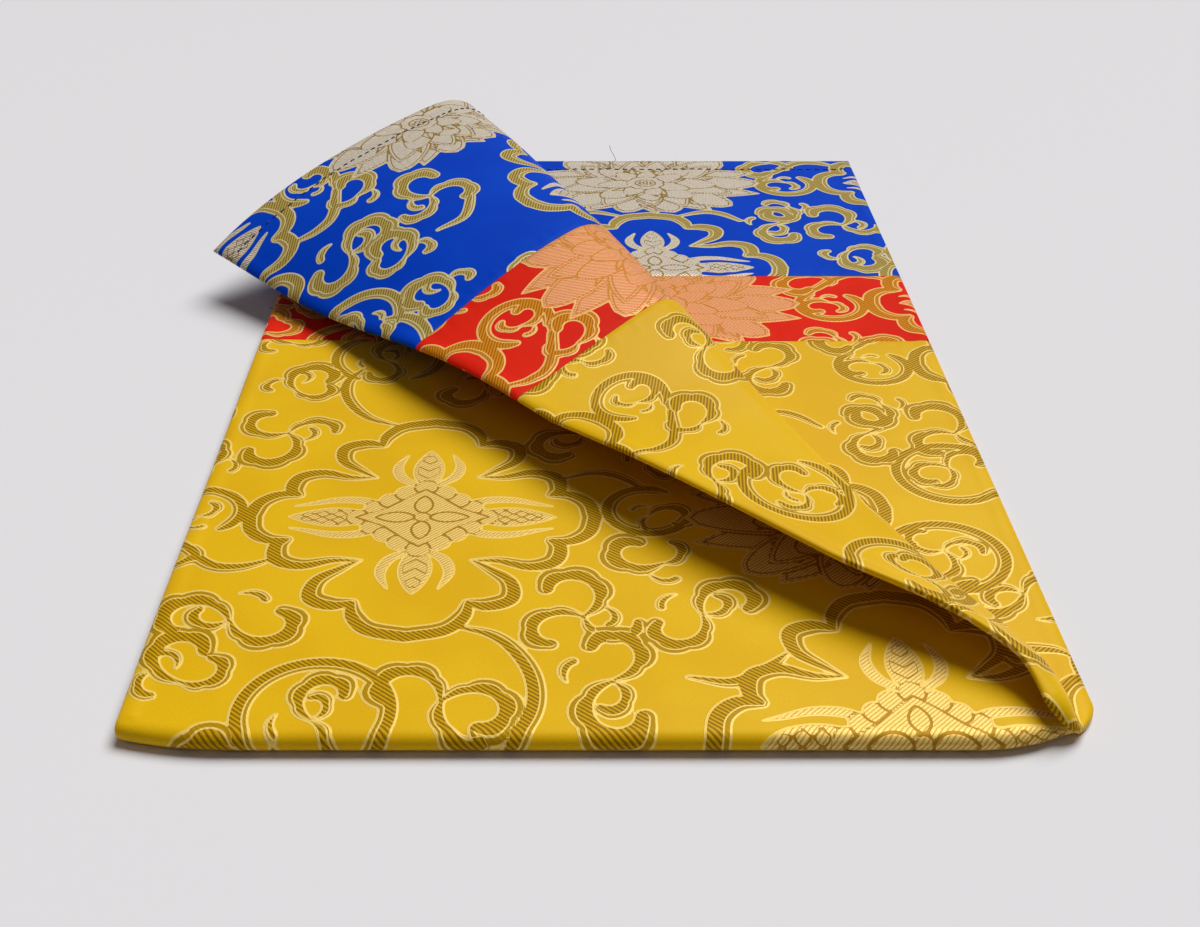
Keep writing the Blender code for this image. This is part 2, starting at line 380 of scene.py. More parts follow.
def draw_cloud(cloud):
    for c in CLOUDS[cloud.kind]:
        line = turned(curl_line(c) * cloud.size, (cloud.x, cloud.y), cloud.angle, cloud.flip)
        draw_band(line, side=-cloud.flip * np.sign(c.turn))


print("curls in each cloud", {kind: len(curls) for kind, curls in CLOUDS.items()})

# %% Cloud frames and rings
# one quarter of a frame, from the notch out to a shoulder and on to the middle of a lobe
TALL_SHOULDER = (
    (16.5, 22.5, 0.5),
    (22.0, 27.0, 1.7),
    (28.0, 33.0, 2.7),
    (28.5, 40.5, 3.3),
    (22.5, 43.5, 3.1),
    (17.2, 42.5, 1.5),
)
TALL_LOBE = ((16.4, 42.5, 1.4), (15.5, 48.5, 2.8), (10.5, 54.5, 3.2), (0, 57.2, 3.3))
WIDE_SHOULDER = (
    (16.5, 22.5, 0.5),
    (25.0, 22.5, 1.7),
    (34.0, 25.0, 2.7),
    (41.0, 22.5, 3.3),
    (42.5, 16.0, 3.1),
    (40.0, 12.5, 1.5),
)
WIDE_LOBE = ((40.2, 12.0, 1.4), (46.5, 12.0, 2.8), (51.5, 7.5, 3.2), (53.2, 0, 3.3))
FRAME_STROKES = ((TALL_SHOULDER, 1), (TALL_LOBE, 1), (WIDE_SHOULDER, -1), (WIDE_LOBE, -1))
QUARTERS = ((1, 1), (-1, 1), (1, -1), (-1, -1))
RING_POINTS, RING_HALF, RING_FLAT = 44, 2.5, 0.95


def draw_frame(at):
    for stroke, hand in FRAME_STROKES:
        line = through(stroke)
        for fx, fy in QUARTERS:
            draw_band(line * (fx, fy, 1) + (at[0], at[1], 0), side=hand * fx * fy)


def ring_line(ring):
    """An open ring that tapers at both ends."""
    angle = np.radians(ring.begin + np.linspace(0, ring.sweep, RING_POINTS))
    ends = np.minimum(np.linspace(0.5, 8, RING_POINTS), np.linspace(8, 0.6, RING_POINTS))
    x = ring.x + ring.radius * np.cos(angle)
    y = ring.y + ring.radius * RING_FLAT * np.sin(angle)
    return np.column_stack([x, y, RING_HALF * np.clip(ends, 0, 1)])


print("strokes in a frame", len(FRAME_STROKES) * len(QUARTERS))

# %% [markdown]
# ## The pale flowers
#
# The lotus and the crossed ornaments are closed shapes laid over one another, outermost first, as
# paper cut-outs would be. Each keeps its outline and so stands out from those behind.

# %% Shapes of petals, knobs and horns
PETAL_POINTS, PETAL_WIDEST, TIP_BEND = 15, 0.85, 2.5
BLOB_POINTS = 40


def petal(at, angle, length, width, point, bend=0.0):
    """A petal from its base outwards, widest past its middle, its tip bent to one side."""
    u = np.linspace(0, 1, PETAL_POINTS)
    half = width * np.sin(np.pi * u**PETAL_WIDEST) ** point
    one = np.column_stack([u * length, half])
    outline = np.vstack([one, one[-2:0:-1] * (1, -1)])
    outline[:, 1] += bend * (outline[:, 0] / length) ** TIP_BEND
    return turned(outline, at, angle)


def blob(at, rx, ry, lobes=0, depth=0.0):
    angle = np.linspace(0, 2 * np.pi, BLOB_POINTS, endpoint=False)
    grow = 1 + depth * np.abs(np.sin(lobes * angle / 2))
    return np.array(at) + np.column_stack([rx * np.cos(angle) * grow, ry * np.sin(angle) * grow])


def horn(points, at, fx, fy):
    """A thin tapering horn along a line of (x, y, half width), as a closed outline."""
    line = through(points, steps=5)
    step = np.gradient(line[:, :2], axis=0)
    step /= np.linalg.norm(step, axis=1, keepdims=True)
    beside = np.column_stack([-step[:, 1], step[:, 0]]) * line[:, 2:3]
    outline = np.vstack([line[:, :2] + beside, (line[:, :2] - beside)[::-1]])
    return outline * (fx, fy) + at


# %% Fine lines inside the shapes
CHEVRON_INSET, LATTICE_INSET, SECOND_OUTLINE = 1.1, 0.9, 1.5
CHEVRON_LEAN, LATTICE_LEAN = 0.8, 1.6


def chevrons(pitch, at, angle):
    """Nested chevrons in a bud that points at an angle."""
    c, s = np.cos(np.radians(angle)), np.sin(np.radians(angle))

    def lines(place, d):
        u = (place[..., 0] - at[0]) * c + (place[..., 1] - at[1]) * s
        v = (place[..., 1] - at[1]) * c - (place[..., 0] - at[0]) * s
        wave = np.sin(np.pi * (u - CHEVRON_LEAN * np.abs(v)) / pitch) * pitch / np.pi
        return np.where(d < -CHEVRON_INSET, wave, FAR["line"])

    return lines


def lattice(pitch, at):
    """Crossed lines, as on a net."""

    def lines(place, d):
        x, y = place[..., 0] - at[0], LATTICE_LEAN * (place[..., 1] - at[1])
        net = np.sin(np.pi * (x + y) / pitch) * np.sin(np.pi * (x - y) / pitch)
        return np.where(d < -LATTICE_INSET, net * pitch / np.pi, FAR["line"])

    return lines


def inner_edge(place, d):
    """A second outline inside the first."""
    return -d - SECOND_OUTLINE


# %% The crossed ornament
LONG_HORN = ((13, 6.5, 1.4), (20, 9.2, 1.7), (28, 9.4, 1.4), (36, 7.2, 0.8), (41, 6.0, 0.2))
SHORT_HORN = ((3.5, 18, 1.0), (8.5, 22.5, 1.7), (10.2, 29, 1.5), (7.4, 36.5, 0.2))
Knob = namedtuple("Knob", "x y radius")
KNOBS = (
    Knob(19.5, 0.0, 4.2),
    Knob(15.0, 5.2, 3.9),
    Knob(10.6, 9.2, 3.9),
    Knob(5.8, 13.4, 4.0),
    Knob(0.0, 16.8, 3.8),
)
# one quarter of the lozenge in the middle, from its side point to its top
LOZENGE = ((21, 0), (12, 4.6), (4.8, 11.5), (0, 15.5))


def lozenge(at):
    quarter = np.array(LOZENGE)
    upper = np.vstack([quarter, quarter[-2::-1] * (-1, 1)])
    return np.vstack([upper, upper[-2:0:-1] * (1, -1)]) + at


def draw_ornament(at):
    """Two crossed sceptres: lattice blades across, chevron buds up and down, knobs between."""
    x, y = at
    for flip in (1, -1):
        for up in (1, -1):
            draw_bloom(horn(LONG_HORN, at, flip, up), 1)
            draw_bloom(horn(SHORT_HORN, at, flip, up), 1)
        blade = petal((x + 15 * flip, y), 0 if flip > 0 else 180, 27, 5.0, 0.8)
        draw_bloom(blade, -1, lattice(5.2, at))
        bud = petal((x, y + 17 * flip), 90 * flip, 22, 5.0, 0.75)
        draw_bloom(bud, -1, chevrons(4.4, at, 90 * flip))
    for k, knob in enumerate(KNOBS):
        for fy, fx in QUARTERS:
            place = (x + knob.x * fx, y + knob.y * fy)
            draw_bloom(blob(place, knob.radius, knob.radius), 1 if k % 2 else -1)
    draw_bloom(lozenge(at), 1)
    for flip in (1, -1):
        draw_bloom(petal((x + 2.2 * flip, y), 0 if flip > 0 else 180, 12.5, 2.7, 0.8), -1)
        draw_bloom(petal((x, y + 2.2 * flip), 90 * flip, 9.5, 2.9, 0.7), -1)
    draw_bloom(blob(at, 2.5, 2.3), 1)


# %% The lotus
Row = namedtuple("Row", "count lean length width base point bend second_outline leaflets")
LOTUS_ROWS = (
    Row(10, 18, 49, 7.5, 12, 0.95, 4.0, True, False),
    Row(10, 0, 47, 9.5, 10, 0.48, 0.0, True, True),
    Row(9, 12, 37, 8.0, 7, 0.75, -4.0, True, False),
    Row(8, 0, 29, 7.0, 5, 0.50, 2.5, False, True),
    Row(7, 20, 20, 5.0, 3, 0.60, 0.0, False, False),
)
LOTUS_SIZE, LOTUS_STRETCH = 0.97, 0.20
LEAFLET_LEAN, LEAFLET_LENGTH, LEAFLET_WIDTH = 9, 0.62, 1.6


def draw_lotus(at):
    """A full lotus, wider than tall: five rows of petals round a lobed heart."""
    size = LOTUS_SIZE
    for n, row in enumerate(LOTUS_ROWS):
        for k in range(row.count):
            angle = 360 * k / row.count + row.lean
            a = np.radians(angle)
            stretch = 1.0 + LOTUS_STRETCH * np.cos(2 * a)
            out = row.base * size * stretch
            foot = (at[0] + out * np.cos(a), at[1] + out * np.sin(a))
            side = 1 if np.sin(a) * np.cos(a) > 0 else -1
            length = (row.length - row.base) * size
            bend = -side * row.bend * size
            outline = petal(foot, angle, length * stretch, row.width * size, row.point, bend)
            lines = inner_edge if row.second_outline else None
            draw_bloom(outline, 1 if (k + n) % 2 else -1, lines)
            for hand in (-1, 1) if row.leaflets else ():
                inward = angle + LEAFLET_LEAN * hand
                reach, half = length * LEAFLET_LENGTH, LEAFLET_WIDTH * size
                draw_bloom(petal(foot, inward, reach, half, 0.8, 3 * hand), hand)
    draw_bloom(blob(at, 8.5 * size, 7.5 * size, 10, 0.12), 1)
    draw_bloom(blob(at, 5.0 * size, 4.4 * size), -1, lattice(3.4, at))


print("petals in a lotus", sum(row.count for row in LOTUS_ROWS))

# %% Places of the marks in the repeat
FIRST_FRAME, SECOND_FRAME, SHIFTED_FRAME = (0.0, 0.0), (137.0, 97.0), (108.0, 97.0)
LOTUS_AT = (137.0, 0.0)
Cloud = namedtuple("Cloud", "kind x y angle flip size")
LAYOUT = (
    Cloud("ess", -50, -52, 15, -1, 0.92),
    Cloud("hook", -58, -78, 60, 1, 0.85),
    Cloud("comma", -76, -26, 120, 1, 0.95),
    Cloud("leafy", -92, -56, 30, 1, 0.9),
    Cloud("leafy", -50, 51, 150, -1, 0.88),
    Cloud("hook", -52, 80, 20, 1, 0.85),
    Cloud("comma", -72, 30, 300, -1, 0.9),
    Cloud("ess", -80, 50, 70, 1, 0.85),
    Cloud("head", 12, -84, -20, 1, 0.9),
    Cloud("leafy", 50, -49, 25, 1, 0.88),
    Cloud("ess", 58, -76, 110, -1, 0.95),
    Cloud("comma", 74, -24, 150, 1, 0.95),
    Cloud("ess", 84, -48, 20, 1, 0.85),
    Cloud("ess", 51, 50, 60, -1, 0.88),
    Cloud("hook", 56, 80, 200, -1, 0.9),
    Cloud("comma", 73, 33, 30, 1, 0.9),
    Cloud("leafy", 84, 54, 200, -1, 0.82),
    Cloud("comma", 16, 82, 210, 1, 0.85),
)
# where vines take the lotus's place, these clouds make room for rings, and others fill the gap
LEFT_OUT = (LAYOUT[1], LAYOUT[3], LAYOUT[5])
VINE_CLOUDS = (
    Cloud("ess", 165, 2, 80, 1, 0.9),
    Cloud("comma", 105, -20, 200, -1, 0.9),
    Cloud("leafy", 150, -28, 120, 1, 0.9),
)
Ribbon = namedtuple("Ribbon", "hand points")
RIBBONS = (
    Ribbon(1, ((13, -53, 0.8), (26, -58, 2.0), (35, -71, 2.5), (37, -85, 2.6), (32, -97, 2.4),
               (22, -107, 1.2))),
    Ribbon(-1, ((-13, 56, 0.8), (-24, 62, 2.0), (-32, 74, 2.4), (-34, 86, 2.4), (-30, 96, 1.2))),
    Ribbon(1, ((-42, -22, 0.8), (-52, -27, 2.0), (-62, -26, 2.4), (-74, -14, 2.0))),
    Ribbon(1, ((44, 22, 0.8), (54, 26, 2.0), (62, 24, 2.2), (70, 17, 1.5))),
    Ribbon(-1, ((124, 41, 0.8), (112, 36, 1.8), (104, 38, 2.0), (96, 45, 1.2))),
    Ribbon(1, ((150, 41, 0.8), (162, 36, 1.8), (170, 38, 2.0), (178, 46, 1.2))),
    Ribbon(1, ((106, -65, 0.8), (100, -71, 2.0), (90, -77, 2.0), (78, -75, 0.8))),
    Ribbon(-1, ((168, -65, 0.8), (174, -73, 2.0), (185, -81, 2.0), (197, -78, 0.8))),
)
# a ring with a small cloud in it
Ring = namedtuple("Ring", "x y radius begin sweep kind lean size")
RINGS = (
    Ring(-21, -88, 19.5, -60, 300, "ess", 60, 0.72),
    Ring(71, 4, 12.5, 60, 290, "comma", 0, 0.7),
    Ring(-70, 2, 12.5, 240, -290, "comma", 150, 0.7),
)
VINE_RINGS = (
    Ring(128, 4, 19.5, 20, 300, "ess", 140, 0.72),
    Ring(-69, -71, 17.5, 150, 300, "leafy", 40, 0.66),
    Ring(-57, 76, 17.5, 30, 300, "head", 150, 0.66),
)
RING_CLOUD_DROP = 3
print("clouds", len(LAYOUT), "ribbons", len(RIBBONS))


# %% Draw the three versions of the repeat
def draw_repeat(with_lotus, second_frame):
    """Draws one repeat, with a lotus or with more vines in its place."""
    for name in FIELDS:
        repeat[name] = np.full(CELLS, FAR[name])
    for ribbon in RIBBONS:
        draw_band(through(ribbon.points, steps=10), ribbon.hand)
    for cloud in LAYOUT:
        if with_lotus or cloud not in LEFT_OUT:
            draw_cloud(cloud)
    for ring in RINGS if with_lotus else RINGS + VINE_RINGS:
        draw_band(ring_line(ring), 1 if ring.sweep > 0 else -1)
        draw_cloud(Cloud(ring.kind, ring.x, ring.y - RING_CLOUD_DROP, ring.lean, 1, ring.size))
    if with_lotus:
        draw_lotus(LOTUS_AT)
    else:
        for cloud in VINE_CLOUDS:
            draw_cloud(cloud)
    for centre in (FIRST_FRAME, second_frame):
        draw_frame(centre)
        draw_ornament(centre)
    return dict(repeat)


repeats = {
    "lotus": draw_repeat(True, SECOND_FRAME),
    "vines": draw_repeat(False, SECOND_FRAME),
    "shifted": draw_repeat(True, SHIFTED_FRAME),
}
for version, fields in repeats.items():
    print(version, *(f"{name} {(fields[name] < 0).mean():.2f}" for name in ("band", "bloom")))


# %% Read the drawing between its cells
def read_repeat(fields, name, x, y):
    """A field at places of the flat cloth, in millimetres."""
    i, j = x / CELL, y / CELL
    i0, j0 = np.floor(i).astype(int), np.floor(j).astype(int)
    u, v = i - i0, j - j0
    near_i, near_j = i0 % CELLS[0], j0 % CELLS[1]
    next_i, next_j = (i0 + 1) % CELLS[0], (j0 + 1) % CELLS[1]
    field = fields[name]
    low = field[near_i, near_j] * (1 - u) + field[next_i, near_j] * u
    high = field[near_i, next_j] * (1 - u) + field[next_i, next_j] * u
    return low * (1 - v) + high * v


# %% [markdown]
# ## The three cloths
#
# A figured satin shows two yarns: silky ground warps, and wefts that come up in the figures. A
# painted picture could show them, but the drawing above already holds every edge, so the materials
# only decide what each distance means: satin far away, a pale outline at zero, hatched gold
# inside. The hatching runs diagonally, as the binding of the figure wefts does.


# %% Short names for the nodes
LINE_SOFT = 0.12


class Tree:
    def __init__(self, material):
        self.tree = material.node_tree
        self.nodes = self.tree.nodes

    def link(self, value, socket):
        if hasattr(value, "links"):
            self.tree.links.new(value, socket)
        else:
            socket.default_value = value

    def node(self, kind, *values):
        """A new node, with values or links for its first inputs."""
        node = self.nodes.new("ShaderNode" + kind)
        for value, socket in zip(values, node.inputs):
            self.link(value, socket)
        return node

    def math(self, operation, a, b=0.0):
        node = self.node("Math", a, b)
        node.operation = operation
        return node.outputs[0]

    def ramp(self, value, start, stop, low=0.0, high=1.0):
        node = self.node("MapRange", value, start, stop, low, high)
        node.interpolation_type = "SMOOTHSTEP"
        return node.outputs[0]

    def near(self, value, half):
        """A line where the value is within half of zero."""
        away = self.math("ABSOLUTE", value)
        return self.ramp(away, half - LINE_SOFT, half + LINE_SOFT, 1.0, 0.0)

    def field(self, name):
        node = self.node("Attribute")
        node.attribute_name = name
        return node.outputs["Fac"]

    def mix(self, share, a, b):
        node = self.node("Mix", share)
        node.data_type = "RGBA"
        self.link(a, node.inputs[6])
        self.link(b, node.inputs[7])
        return node.outputs[2]

    def blend(self, share, a, b):
        node = self.node("Mix", share)
        self.link(a, node.inputs[2])
        self.link(b, node.inputs[3])
        return node.outputs[0]

    def noise(self, vector, scale, detail=2.0):
        node = self.node("TexNoise", vector)
        node.inputs["Scale"].default_value = scale
        node.inputs["Detail"].default_value = detail
        return node.outputs["Fac"]


# %% Colours of the three cloths
# ground and shade make the satin, weft and hollow the bands, bloom and hatch the pale figures;
# edge and rim are their outlines; the rest is how they shine
Palette = namedtuple(
    "Palette",
    "ground shade weft hollow edge bloom hatch rim glint metal ground_rough gloss",
)
PALETTES = {
    "yellow_brocade": Palette(
        ground=(0.82, 0.50, 0.006),
        shade=(0.68, 0.36, 0.003),
        weft=(0.60, 0.36, 0.003),
        hollow=(0.29, 0.135, 0.001),
        edge=(0.92, 0.66, 0.17),
        bloom=(0.90, 0.64, 0.20),
        hatch=(0.54, 0.32, 0.035),
        rim=(0.40, 0.20, 0.012),
        glint=(1.0, 0.72, 0.12),
        metal=0.15,
        ground_rough=0.42,
        gloss=0.20,
    ),
    "red_brocade": Palette(
        ground=(0.80, 0.022, 0.008),
        shade=(0.62, 0.010, 0.005),
        weft=(0.68, 0.28, 0.014),
        hollow=(0.45, 0.13, 0.006),
        edge=(0.90, 0.55, 0.20),
        bloom=(0.81, 0.48, 0.21),
        hatch=(0.66, 0.05, 0.025),
        rim=(0.60, 0.25, 0.04),
        glint=(1.0, 0.35, 0.15),
        metal=0.14,
        ground_rough=0.50,
        gloss=0.04,
    ),
    "blue_brocade": Palette(
        ground=(0.001, 0.058, 0.58),
        shade=(0.001, 0.030, 0.42),
        weft=(0.52, 0.39, 0.10),
        hollow=(0.24, 0.16, 0.030),
        edge=(0.72, 0.62, 0.34),
        bloom=(0.89, 0.77, 0.49),
        hatch=(0.04, 0.07, 0.30),
        rim=(0.30, 0.19, 0.04),
        glint=(0.12, 0.60, 1.0),
        metal=0.14,
        ground_rough=0.50,
        gloss=0.04,
    ),
}
print("cloths", sorted(PALETTES))

# %% Measures of the weave
# pitches, half widths and heights are in millimetres
Hatch = namedtuple("Hatch", "pitch slope wave start stop")
BAND_HATCH = Hatch(1.15, 1.3, 0.5, -0.55, 0.45)
BLOOM_HATCH = Hatch(1.00, -1.1, 0.6, -0.85, -0.10)
OUTLINE_HALF, BLOOM_OUTLINE_HALF, FINE_HALF = 0.36, 0.34, 0.26
FIGURE_ROUGH = 0.44
RIDGE_HEIGHT, FIGURE_HEIGHT, DRAWN_DEPTH = 0.10, 0.10, 0.08
FLECK_HEIGHT, HATCH_HEIGHT = 0.035, 0.05
print("hatching", BAND_HATCH, BLOOM_HATCH)


# %% Build a cloth's material from the drawn fields
def stripes(t, place, hatch):
    """Slanting hatch lines that waver a little, as 0 between the lines and 1 on them."""
    split = t.node("SeparateXYZ", place)
    x, y = (t.math("MULTIPLY", split.outputs[k], 1000.0) for k in (0, 1))
    run = t.math("ADD", x, t.math("MULTIPLY", y, hatch.slope))
    run = t.math("ADD", run, t.math("MULTIPLY", t.noise(place, 900.0), hatch.wave))
    per_mm = 2 * np.pi / (hatch.pitch * (1 + hatch.slope**2) ** 0.5)
    return t.ramp(t.math("SINE", t.math("MULTIPLY", run, per_mm)), hatch.start, hatch.stop)


def brocade(name, palette):
    material = bpy.data.materials.new(name)
    material.use_nodes = True
    material.diffuse_color = palette.ground + (1,)
    t = Tree(material)
    shader = t.nodes["Principled BSDF"]
    uv = t.node("UVMap")
    uv.uv_map = "cloth"
    place = uv.outputs[0]
    band, vein, bloom, rim, line = (t.field(field) for field in FIELDS)
    ground, shade, weft, hollow, edge, pale, hatch, rim_color, glint = (
        color + (1,) for color in palette[:9]
    )

    # the satin, a little cloudy and flecked
    fleck = t.noise(place, 1400.0, 3.0)
    cloudy = t.noise(place, 26.0)
    satin = t.mix(t.ramp(cloudy, 0.35, 0.65, 0.0, 0.35), ground, shade)
    satin = t.mix(t.ramp(fleck, 0.45, 0.75, 0.0, 0.30), satin, shade)

    # the hatched bands, with a plain core beyond the inner line
    band_hatch = stripes(t, place, BAND_HATCH)
    core = t.mix(0.55, hollow, weft)
    figure = t.mix(t.ramp(vein, -0.1, 0.15), t.mix(band_hatch, hollow, weft), core)
    in_band = t.ramp(band, 0.05, -0.15)
    color = t.mix(in_band, satin, figure)
    vein_line = t.math("MULTIPLY", t.near(vein, FINE_HALF), in_band)
    outline = t.math("MAXIMUM", t.near(band, OUTLINE_HALF), vein_line)
    color = t.mix(t.math("MULTIPLY", outline, 0.95), color, edge)

    # the pale flowers, with the outlines and fine lines inside them
    flower = t.mix(stripes(t, place, BLOOM_HATCH), hatch, pale)
    in_bloom = t.ramp(bloom, 0.05, -0.15)
    drawn = t.math("MAXIMUM", t.near(rim, OUTLINE_HALF), t.near(line, FINE_HALF))
    color = t.mix(in_bloom, color, t.mix(drawn, flower, rim_color))
    bloom_edge = t.near(bloom, BLOOM_OUTLINE_HALF)
    color = t.mix(t.math("MULTIPLY", bloom_edge, 0.9), color, edge)
    t.link(color, shader.inputs["Base Color"])

    # the pale figures glint most, the hatched bands little
    outlines = t.math("MAXIMUM", outline, bloom_edge)
    shine = t.math("MAXIMUM", t.math("MULTIPLY", in_band, 0.35), in_bloom)
    shine = t.math("MAXIMUM", shine, t.math("MULTIPLY", outlines, 0.8))
    t.link(t.blend(shine, 0.0, palette.metal), shader.inputs["Metallic"])
    t.link(t.blend(shine, palette.ground_rough, FIGURE_ROUGH), shader.inputs["Roughness"])
    shader.inputs["Specular IOR Level"].default_value = palette.gloss
    shader.inputs["Specular Tint"].default_value = glint

    # the yarns stand up a little, and the drawn lines sink in
    height = t.math("MULTIPLY", drawn, t.math("MULTIPLY", in_bloom, -DRAWN_DEPTH))
    for part, lift in (
        (outlines, RIDGE_HEIGHT),
        (t.ramp(band, 0.3, -1.0), FIGURE_HEIGHT),
        (t.ramp(bloom, 0.3, -1.0), FIGURE_HEIGHT),
        (fleck, FLECK_HEIGHT),
        (t.math("MULTIPLY", band_hatch, in_band), HATCH_HEIGHT),
    ):
        height = t.math("ADD", height, t.math("MULTIPLY", part, lift))
    bump = t.node("Bump")
    bump.inputs["Strength"].default_value = 0.8
    bump.inputs["Distance"].default_value = 0.001
    t.link(height, bump.inputs["Height"])
    t.link(bump.outputs[0], shader.inputs["Normal"])
    return material


cloths = {name: brocade(name, palette) for name, palette in PALETTES.items()}
print("nodes in each cloth", [len(m.node_tree.nodes) for m in cloths.values()])

# %% [markdown]
# ## The sheets
#
# A cloth this thin could be one surface with thickness added afterwards, but at the rolled edges
# the two plies are turned in to meet. So each ply of each strip is its own sheet, whose height
# above the middle of the cloth falls to nothing at the panel's edges and dips at the seams. The
# grid is fine where the figures show and coarse where the cloth lies hidden.

# %% Height of a ply above the middle of the cloth
EDGE_ROUND = 0.0022
# the turned-in cloth just inside an edge stands up a little
PLUMP_HEIGHT, PLUMP_AT, PLUMP_SPREAD = 0.00032, 0.0036, 0.0022
SEAMS = (-LOWER_CENTRE_SEAM, -LOWER_BORDER_SEAM, UPPER_CENTRE_SEAM, UPPER_BORDER_SEAM)
SEAM_DIP, SEAM_DEPTH = 0.0024, 0.0004
PUCKER_HEIGHT, PUCKER_AT, PUCKER_SPREAD = 0.00009, 0.0035, 0.003
# below this distance from the fold the face ply lies on the floor and stays plain
UNDERSIDE_BELOW = 0.004


def ply_height(s, t, face):
    """Half thickness, with rolled edges, seam grooves and small puckers."""
    edge = np.minimum(np.minimum(s, WIDTH - s), np.minimum(t + LOWER_HEM, UPPER_HEM - t))
    rise = 1 - np.clip(edge / EDGE_ROUND, 0, 1)
    roll = np.sqrt(np.clip(1 - rise**2, 0, 1))
    under = face & (t < UNDERSIDE_BELOW)
    plump = np.exp(-(((edge - PLUMP_AT) / PLUMP_SPREAD) ** 2)) * np.where(under, 0, PLUMP_HEIGHT)
    height = (PLY_GAP / 2 + PLY + plump) * roll
    wave = np.sin(s * 620 + 2.0 * np.sin(s * 91)) + 0.6 * np.sin(s * 1130 + 1.0)
    for seam in SEAMS:
        away = np.abs(t - seam)
        height = height - SEAM_DEPTH * np.clip(1 - away / SEAM_DIP, 0, 1) ** 2 * roll
        beside = np.exp(-(((away - PUCKER_AT) / PUCKER_SPREAD) ** 2))
        height = height + np.where(under, 0, PUCKER_HEIGHT) * wave * beside * roll
    return height


print("seams at", SEAMS)

# %% Rows and columns of the grids
EDGE_STEPS = np.array([0.0001, 0.0003, 0.0006, 0.0010, 0.0015])
EDGE_KEEP = 0.00025


def spaced(stops, steps):
    """Places from stop to stop, about a step apart."""
    places = []
    for first, last, step in zip(stops[:-1], stops[1:], steps):
        count = max(1, int(round((last - first) / step)))
        places += list(np.linspace(first, last, count, endpoint=False))
    return np.array(places + [stops[-1]])


def near_edges(places, low_edge, high_edge):
    """The places, with more of them beside the panel's own edges."""
    extra = []
    if low_edge:
        extra += list(places[0] + EDGE_STEPS)
    if high_edge:
        extra += list(places[-1] - EDGE_STEPS)
    kept = [p for p in places if all(abs(p - e) > EDGE_KEEP for e in extra)]
    return np.array(sorted(set(kept + extra)))


# %% The ten strips
# stops and steps across the cloth and along it; the phase is the place of the first frame's centre,
# in millimetres from the left edge and the front fold
Strip = namedtuple("Strip", "node cloth figures across across_steps along along_steps phase")
YELLOW, RED, BLUE = PALETTES
STRIPS = (
    Strip("face_centre", YELLOW, "lotus", (0, WIDTH), (0.00082,),
          (-LOWER_CENTRE_SEAM, -0.024, -0.012, UPPER_CENTRE_SEAM), (0.010, 0.0015, 0.00082),
          (72, 97)),
    Strip("reverse_centre", YELLOW, "vines", (0, 0.135, WIDTH), (0.00088, 0.008),
          (-LOWER_CENTRE_SEAM, UPPER_CENTRE_SEAM), (0.00088,), (28, -10)),
    Strip("face_upper_red", RED, "lotus", (0, 0.10, WIDTH), (0.003, 0.0010),
          (UPPER_CENTRE_SEAM, UPPER_BORDER_SEAM), (0.0010,), (60, 300)),
    Strip("reverse_upper_red", RED, "lotus", (0, 0.17, WIDTH), (0.00075, 0.005),
          (UPPER_CENTRE_SEAM, UPPER_BORDER_SEAM), (0.00075,), (26, 248)),
    Strip("face_lower_red", RED, "lotus", (0, WIDTH), (0.008,),
          (-LOWER_BORDER_SEAM, -LOWER_CENTRE_SEAM), (0.008,), (60, -250)),
    Strip("reverse_lower_red", RED, "lotus", (0, 0.17, WIDTH), (0.00080, 0.005),
          (-LOWER_BORDER_SEAM, -LOWER_CENTRE_SEAM), (0.00080,), (20, -256)),
    Strip("face_upper_blue", BLUE, "lotus", (0, WIDTH), (0.0020,),
          (UPPER_BORDER_SEAM, UPPER_HEM), (0.0020,), (90, 340)),
    Strip("reverse_upper_blue", BLUE, "shifted", (0, WIDTH), (0.00085,),
          (UPPER_BORDER_SEAM, UPPER_HEM), (0.00085,), (281, 402)),
    Strip("face_lower_blue", BLUE, "lotus", (0, WIDTH), (0.008,),
          (-LOWER_HEM, -LOWER_BORDER_SEAM), (0.008,), (90, -340)),
    Strip("reverse_lower_blue", BLUE, "lotus", (0, 0.20, WIDTH), (0.00095, 0.005),
          (-LOWER_HEM, -LOWER_BORDER_SEAM), (0.00095,), (18, -388)),
)
print(len(STRIPS), "strips")

# %% Places of the grid on the flat cloth
HALF_SEAM = 0.00004
# the reverse ply turns round the free edge and in under it, and the face ply meets it there
EDGE_TURN = np.array([0.0010, 0.0006, 0.0003, 0.0001])


def grid_places(strip, face):
    """Distances across and along, negative across where the cloth has turned under its edge."""
    across = near_edges(spaced(strip.across, strip.across_steps), True, True)
    if face:
        across = across[across > EDGE_TURN[0] - 1e-6]
    else:
        across = np.concatenate([-EDGE_TURN, across])
    low_hem, high_hem = strip.along[0] == -LOWER_HEM, strip.along[-1] == UPPER_HEM
    along = near_edges(spaced(strip.along, strip.along_steps), low_hem, high_hem)
    if not low_hem:
        along[0] += HALF_SEAM
    if not high_hem:
        along[-1] -= HALF_SEAM
    return across, along


# %% Lay a grid on the fold and write the figures into it
BAKE_MARGIN = 0.001


def mesh_of(name, bm):
    mesh = bpy.data.meshes.new(name)
    bm.to_mesh(mesh)
    bm.free()
    return mesh


